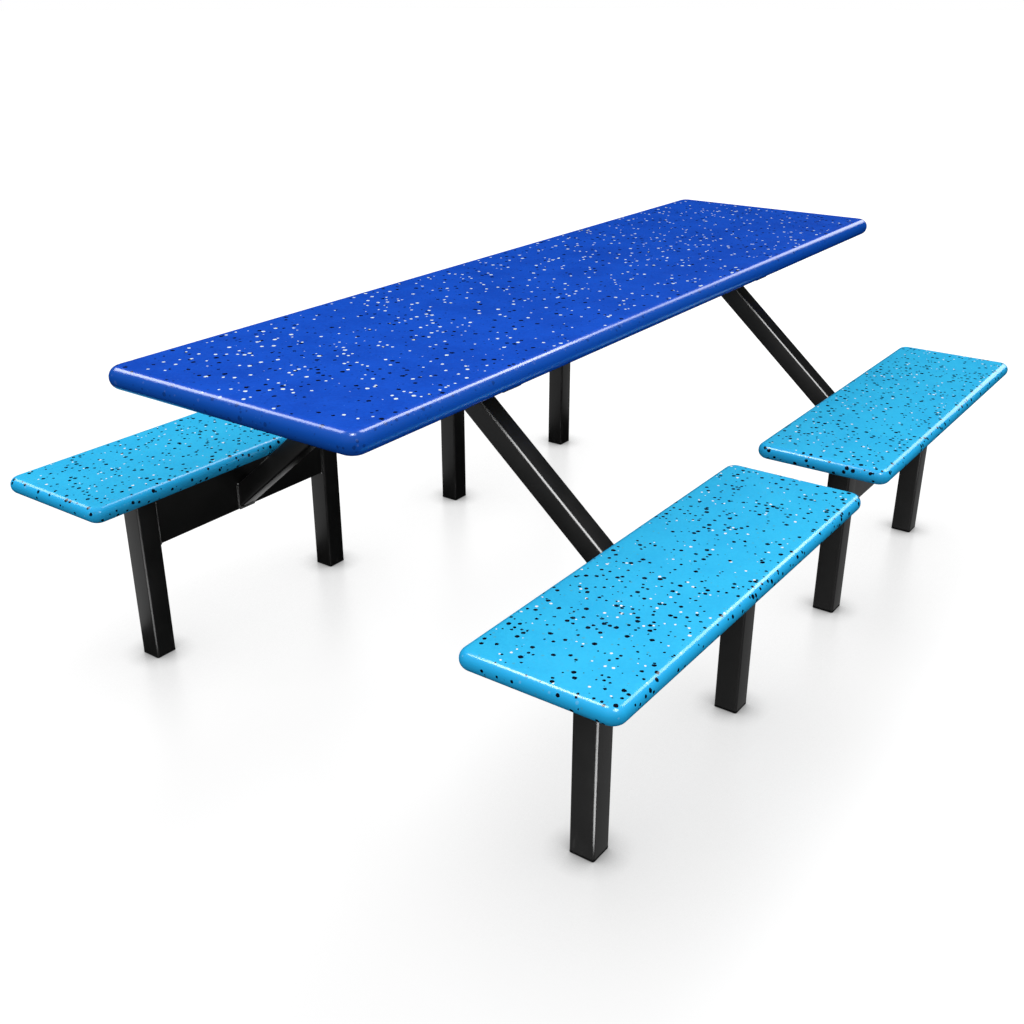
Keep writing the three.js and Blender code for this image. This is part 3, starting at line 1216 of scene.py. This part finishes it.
@dataclass
class Benches:
    """The four benches: seat panels, legs, rails, struts, their welds and the seat screws."""

    dresser: Dresser
    panel: MouldedPanel
    tube: SquareTube
    bead: WeldBead
    screw: SocketScrew
    plate_screw_inset: float = 0.015
    screw_length: float = 0.024
    first: Corner = Corner.FRONT_LEFT

    def build(self) -> None:
        """Models the first bench and copies its pieces to the others."""
        seat = self.panel.build(self.first.node("seat_skin"), "seat")
        strut = self.tube.slanted("strut", *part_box(self.first.node("strut")))
        self.spread("seat_panel", seat, Slot.SEAT, "seat_skin")
        self.spread("rail_tube", self.straight("rail", Axis.X), Slot.FRAME, "rail")
        for leg in ("outer_leg", "inner_leg"):
            self.spread(f"{leg}_tube", self.straight(leg, Axis.Z), Slot.FRAME, leg)
        self.spread("strut_tube", strut, Slot.FRAME, "strut")
        self.spread("welds", self.welds(), Slot.FRAME)
        self.spread("seat_screws", self.screws(), Slot.SCREW)

    def spread(self, name: str, master: Piece, slot: Slot, *parts: str) -> None:
        """Copies a piece of the first bench to each bench, and removes the first.

        Args:
            name: what the copies are called, after their bench.
            master: the piece of the first bench.
            slot: the finish that the copies take.
            parts: the solids of a bench that a copy stands for.
        """
        guide = parts[0] if parts else "seat_skin"
        for corner in Corner:
            move = shift_between(self.first.node(guide), corner.node(guide), corner.turned)
            twin = copy_of(master, corner.node(name), move, corner.turned)
            self.dresser.dress(twin, slot, *(corner.node(part) for part in parts))
        bpy.data.objects.remove(master)

    def straight(self, part: str, axis: Axis) -> Piece:
        """Models one of the first bench's straight tubes."""
        return self.tube.straight(part, *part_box(self.first.node(part)), axis)

    def welds(self) -> Piece:
        """Models the weld beads of the first bench.

        Returns:
            All its beads as one piece.
        """
        rail_low, rail_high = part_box(self.first.node("rail"))
        strut_low, strut_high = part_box(self.first.node("strut"))
        size = strut_high.x - strut_low.x
        angle = math.atan2(strut_high.z - strut_low.z, strut_high.y - strut_low.y)
        foot_top = strut_low.z + size / math.cos(angle)
        head_start = strut_high.y - size / math.sin(angle)
        beads = self.bead.ring(strut_low, Vector((strut_high.x, strut_low.y, foot_top)), Axis.Y)
        beads += self.bead.ring(Vector((strut_low.x, head_start, strut_high.z)), strut_high, Axis.Z)
        for end in (rail_low.x, rail_high.x):
            beads += self.bead.ring(Vector((end, *rail_low.yz)), Vector((end, *rail_high.yz)), Axis.X)
        for leg in ("outer_leg", "inner_leg"):
            leg_low, leg_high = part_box(self.first.node(leg))
            beads += self.bead.ring(Vector((leg_low.x, leg_low.y, leg_high.z)), leg_high, Axis.Z)
        return join("welds", beads)

    def screws(self) -> Piece:
        """Models the seat screws of the first bench.

        Returns:
            All its screws as one piece.
        """
        master = self.screw.build(self.screw_length)
        made = []
        for plate in ("outer_plate", "inner_plate"):
            low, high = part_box(self.first.node(plate))
            for x in (low.x + self.plate_screw_inset, high.x - self.plate_screw_inset):
                for y in (low.y + self.plate_screw_inset, high.y - self.plate_screw_inset):
                    made.append(copy_of(master, "seat_screw", Vector((x, y, low.z))))
        bpy.data.objects.remove(master)
        return join("seat_screws", made)


@dataclass
class TableTop:
    """The table top with the welds and screws of the frame below it."""

    dresser: Dresser
    panel: MouldedPanel
    bead: WeldBead
    screw: SocketScrew
    screw_length: float = 0.062
    spine_screws: tuple[float, ...] = (-0.63, 0.0, 0.63)
    arm_screw_inset: float = 0.0417

    def build(self) -> None:
        """Models the panel, the beads and the screws."""
        skin = "table_top_skin"
        self.dresser.dress(self.panel.build(skin, "table_top_panel"), Slot.TABLE, skin)
        self.dresser.dress(self.welds(), Slot.FRAME)
        self.dresser.dress(self.screws(), Slot.SCREW)

    def welds(self) -> Piece:
        """Models the beads between the spine and its arms.

        Returns:
            All the beads as one piece.
        """
        spine_low, spine_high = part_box("spine_beam")
        beads = []
        for corner in Corner:
            low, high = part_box(corner.node("arm"))
            side = spine_high.y if corner.turned else spine_low.y
            top = high.z - self.bead.radius
            beads.append(self.bead.build(Vector((low.x, side, low.z)), Vector((high.x, side, low.z))))
            for x in (low.x, high.x):
                beads.append(self.bead.build(Vector((x, side, low.z)), Vector((x, side, top))))
        return join("top_frame_welds", beads)

    def screws(self) -> Piece:
        """Models the screws that hold the top to the spine and arms.

        Returns:
            All the screws as one piece.
        """
        master = self.screw.build(self.screw_length)
        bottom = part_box("spine_beam")[0].z
        places = [Vector((x, 0.0, bottom)) for x in self.spine_screws]
        for corner in Corner:
            low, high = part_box(corner.node("arm"))
            y = high.y - self.arm_screw_inset if corner.turned else low.y + self.arm_screw_inset
            places.append(Vector(((low.x + high.x) / 2, y, low.z)))
        made = [copy_of(master, "top_screw", place) for place in places]
        bpy.data.objects.remove(master)
        return join("top_screws", made)


def glowing(name: str, brightness: float) -> bpy.types.Material:
    """Makes an even white glow.

    Args:
        name: the material's name.
        brightness: how bright it is, where 1 is white.

    Returns:
        The material.
    """
    material = bpy.data.materials.new(name)
    material.use_nodes = True
    graph = Graph(material.node_tree)
    glow = graph.node("ShaderNodeEmission", None, {"Color": FULL_LIGHT, "Strength": brightness})
    graph.node("ShaderNodeOutputMaterial", None, {"Surface": glow.outputs[0]})
    return material


@dataclass(frozen=True)
class Softbox:
    """A soft studio lamp that shows as a highlight on one group, with sizes in metres."""

    name: str
    group: Group
    length: float
    brightness: float
    place: Triple
    aim: Triple
    along: Triple
    width: float = 1.0

    def hang(self, lights: LightSets) -> None:
        """Adds the lamp, turned to its aim with its length in its own direction.

        Args:
            lights: which pieces each lamp and card shows on.
        """
        lamp = added(bpy.ops.object.light_add, type="AREA", location=self.place)
        lamp.name = self.name
        lamp.data.shape = "RECTANGLE"
        lamp.data.size = self.length
        lamp.data.size_y = self.width
        lamp.data.energy = math.pi * self.length * self.width * self.brightness
        back = (Vector(self.place) - Vector(self.aim)).normalized()
        along = Vector(self.along)
        side = (along - along.dot(back) * back).normalized()
        lamp.rotation_euler = Matrix((side, back.cross(side), back)).transposed().to_euler()
        lights.limit(lamp, self.group)


@dataclass(frozen=True)
class Card:
    """A white card under the floor that shows in the gloss of one group, with sizes in metres."""

    name: str
    group: Group
    brightness: float
    low: Pair
    high: Pair
    depth: float = 0.002

    def lay(self, lights: LightSets) -> None:
        """Adds the card.

        Args:
            lights: which pieces each lamp and card shows on.
        """
        low, high = Vector((*self.low, -self.depth)), Vector((*self.high, -self.depth))
        card = added(bpy.ops.mesh.primitive_plane_add, size=1.0, location=(low + high) / 2)
        card.name = self.name
        card.scale.xy = (high - low).xy
        card.data.materials.append(glowing(self.name, self.brightness))
        lights.limit(card, self.group)


@dataclass
class Studio:
    """The pale floor, the lamps, the surrounding light and the camera."""

    lights: LightSets
    camera_place: Triple = (-2.15843, -1.37626, 1.34942)
    camera_yaw: float = 54.34
    camera_pitch: float = 24.39
    camera_reach: float = 200.0
    lens: float = 41.316
    sensor: float = 36.0
    floor_size: float = 200.0
    floor_place: Triple = (-20.0, 0.0, 0.0)
    dome_size: float = 60.0
    light_above: float = 1.65
    light_all_round: float = 0.18
    paper: StudioPaper = StudioPaper(name="studio_paper", colour=grey(0.04), shade=grey(0.035))
    lamps: tuple[Softbox, ...] = (
        Softbox("table_end_lamp", Group.TABLE, length=1.6, brightness=8.0,
                place=(-0.76, 2.15, 2.81), aim=(-1.0, 0.0, 0.75), along=(-0.05, 0.99, -0.42)),
        Softbox("table_near_lamp", Group.TABLE, length=1.7, brightness=9.5,
                place=(1.5, -0.05, 3.24), aim=(-0.9, -0.28, 0.75), along=(2.89, -0.11, -1.27)),
        Softbox("table_far_lamp", Group.TABLE, length=2.3, brightness=3.4,
                place=(3.3, -0.1, 2.45), aim=(0.2, -0.28, 0.75), along=(2.89, -0.11, -1.27)),
        Softbox("table_corner_lamp", Group.TABLE, length=0.7, width=0.7, brightness=30.0,
                place=(-1.1, -0.4, 3.7), aim=(-1.0, -0.28, 0.75), along=(1.0, 0.0, 0.0)),
        Softbox("seat_end_lamp", Group.FRONT_SEATS, length=1.2, brightness=16.0,
                place=(-1.16, 0.86, 3.06), aim=(-1.0, -0.57, 0.43), along=(0.0, 1.0, 0.0)),
        Softbox("seat_near_lamp", Group.FRONT_SEATS, length=1.5, brightness=6.0,
                place=(1.48, -1.35, 2.26), aim=(-0.65, -0.7, 0.43), along=(2.2, 0.36, -1.0)),
        Softbox("seat_far_lamp", Group.FRONT_SEATS, length=1.9, brightness=3.0,
                place=(2.9, -1.14, 1.66), aim=(0.2, -0.7, 0.43), along=(2.2, 0.36, -1.0)),
        Softbox("seat_corner_lamp", Group.SEATS, length=1.0, brightness=20.0,
                place=(-1.35, -2.0, 3.1), aim=(-1.0, -0.7, 0.43), along=(1.0, 0.0, 0.0)),
        Softbox("back_seat_end_lamp", Group.BACK_SEAT, length=0.9, brightness=5.0,
                place=(-1.1, 2.95, 2.25), aim=(-1.0, 0.57, 0.43), along=(0.0, 0.41, -0.17)),
        Softbox("back_seat_side_lamp", Group.BACK_SEAT, length=1.0, brightness=5.0,
                place=(1.0, 0.73, 2.86), aim=(-0.7, 0.43, 0.43), along=(0.72, -0.02, -0.23)),
        Softbox("frame_lamp", Group.FRAME, length=4.0, width=4.0, brightness=40.0,
                place=(-2.4, -1.5, 2.5), aim=(-0.5, -0.3, 0.5), along=(1.0, -1.6, 0.0)),
    )
    cards: tuple[Card, ...] = (
        Card("back_card", Group.FRAME, brightness=1.0, low=(-8.0, 0.68), high=(8.0, 8.0)),
        Card("front_card", Group.FRAME, brightness=0.35, low=(-8.0, -8.0), high=(8.0, -0.3)),
        Card("left_card", Group.FRAME, brightness=0.2, low=(-8.0, -0.3), high=(-1.05, 0.68)),
        Card("right_card", Group.FRAME, brightness=0.6, low=(1.05, -0.3), high=(8.0, 0.68)),
        Card("near_leg_card", Group.NEAR_LEG, brightness=25.0,
             low=(-1.2, -1.2), high=(-0.83, -0.615), depth=0.001),
        Card("left_leg_card", Group.LEFT_LEG, brightness=8.0,
             low=(-1.4, 0.10), high=(-0.84, 0.50), depth=0.001),
        Card("right_leg_card", Group.RIGHT_LEG, brightness=9.0,
             low=(0.45, -1.75), high=(0.70, -0.95), depth=0.001),
    )

    def build(self) -> None:
        """Sets up the studio."""
        self.lay_floor()
        self.raise_dome()
        for lamp in self.lamps:
            lamp.hang(self.lights)
        for card in self.cards:
            card.lay(self.lights)
        self.light_surround()
        self.set_camera()
        bpy.context.scene.view_settings.view_transform = "Standard"

    def lay_floor(self) -> None:
        """Lays the pale floor, which throws no light up."""
        floor = added(bpy.ops.mesh.primitive_plane_add, size=self.floor_size, location=self.floor_place)
        floor.name = "studio_floor"
        floor.data.materials.append(self.paper.material())
        floor.visible_diffuse = False
        floor.visible_glossy = False
        self.lights.add(floor, Group.FLOOR)

    def raise_dome(self) -> None:
        """Raises the white dome round it all, which the floor mirrors except behind legs and feet."""
        dome = added(bpy.ops.mesh.primitive_uv_sphere_add, radius=self.dome_size)
        dome.name = "studio_dome"
        dome.data.materials.append(glowing("studio_dome_white", 1.0))
        self.lights.limit(dome, Group.FLOOR)
        dome.light_linking.blocker_collection = self.lights.sets[Group.MIRRORED]
        dome.visible_camera = True

    def light_surround(self) -> None:
        """Makes the soft light all round, brightest overhead."""
        world = bpy.data.worlds.new("studio_surround")
        bpy.context.scene.world = world
        world.use_nodes = True
        graph = Graph(world.node_tree)
        way = graph.node("ShaderNodeTexCoord").outputs["Generated"]
        light = graph.height(way).at_least(0.0) * self.light_above + self.light_all_round
        soft = graph.node("ShaderNodeBackground", None, {"Color": FULL_LIGHT, "Strength": light})
        graph.node("ShaderNodeOutputWorld", None, {"Surface": soft.outputs[0]})
        world.cycles_visibility.glossy = False

    def set_camera(self) -> None:
        """Sets the camera where the photograph was taken from."""
        camera = added(bpy.ops.object.camera_add, location=self.camera_place)
        camera.name = "photo_camera"
        yaw, pitch = math.radians(self.camera_yaw), math.radians(self.camera_pitch)
        ahead = Vector((math.sin(yaw) * math.cos(pitch), math.cos(yaw) * math.cos(pitch), -math.sin(pitch)))
        camera.rotation_euler = ahead.to_track_quat("-Z", "Y").to_euler()
        camera.data.sensor_width = self.sensor
        camera.data.lens = self.lens
        camera.data.clip_end = self.camera_reach
        bpy.context.scene.camera = camera


def main() -> None:
    """Builds the studio and the part's looks."""
    logging.basicConfig(level=logging.INFO, format="%(message)s")
    lights = LightSets()
    Studio(lights).build()
    dresser = Dresser({slot: finish.material() for slot, finish in FINISHES.items()}, lights)
    dresser.dress_solids()
    bead = WeldBead()
    screw = SocketScrew()
    TableTop(dresser, MouldedPanel(flat_corner=0.012), bead, screw).build()
    Benches(dresser, MouldedPanel(flat_corner=0.009), SquareTube(), bead, screw).build()


if __name__ == "__main__":
    main()
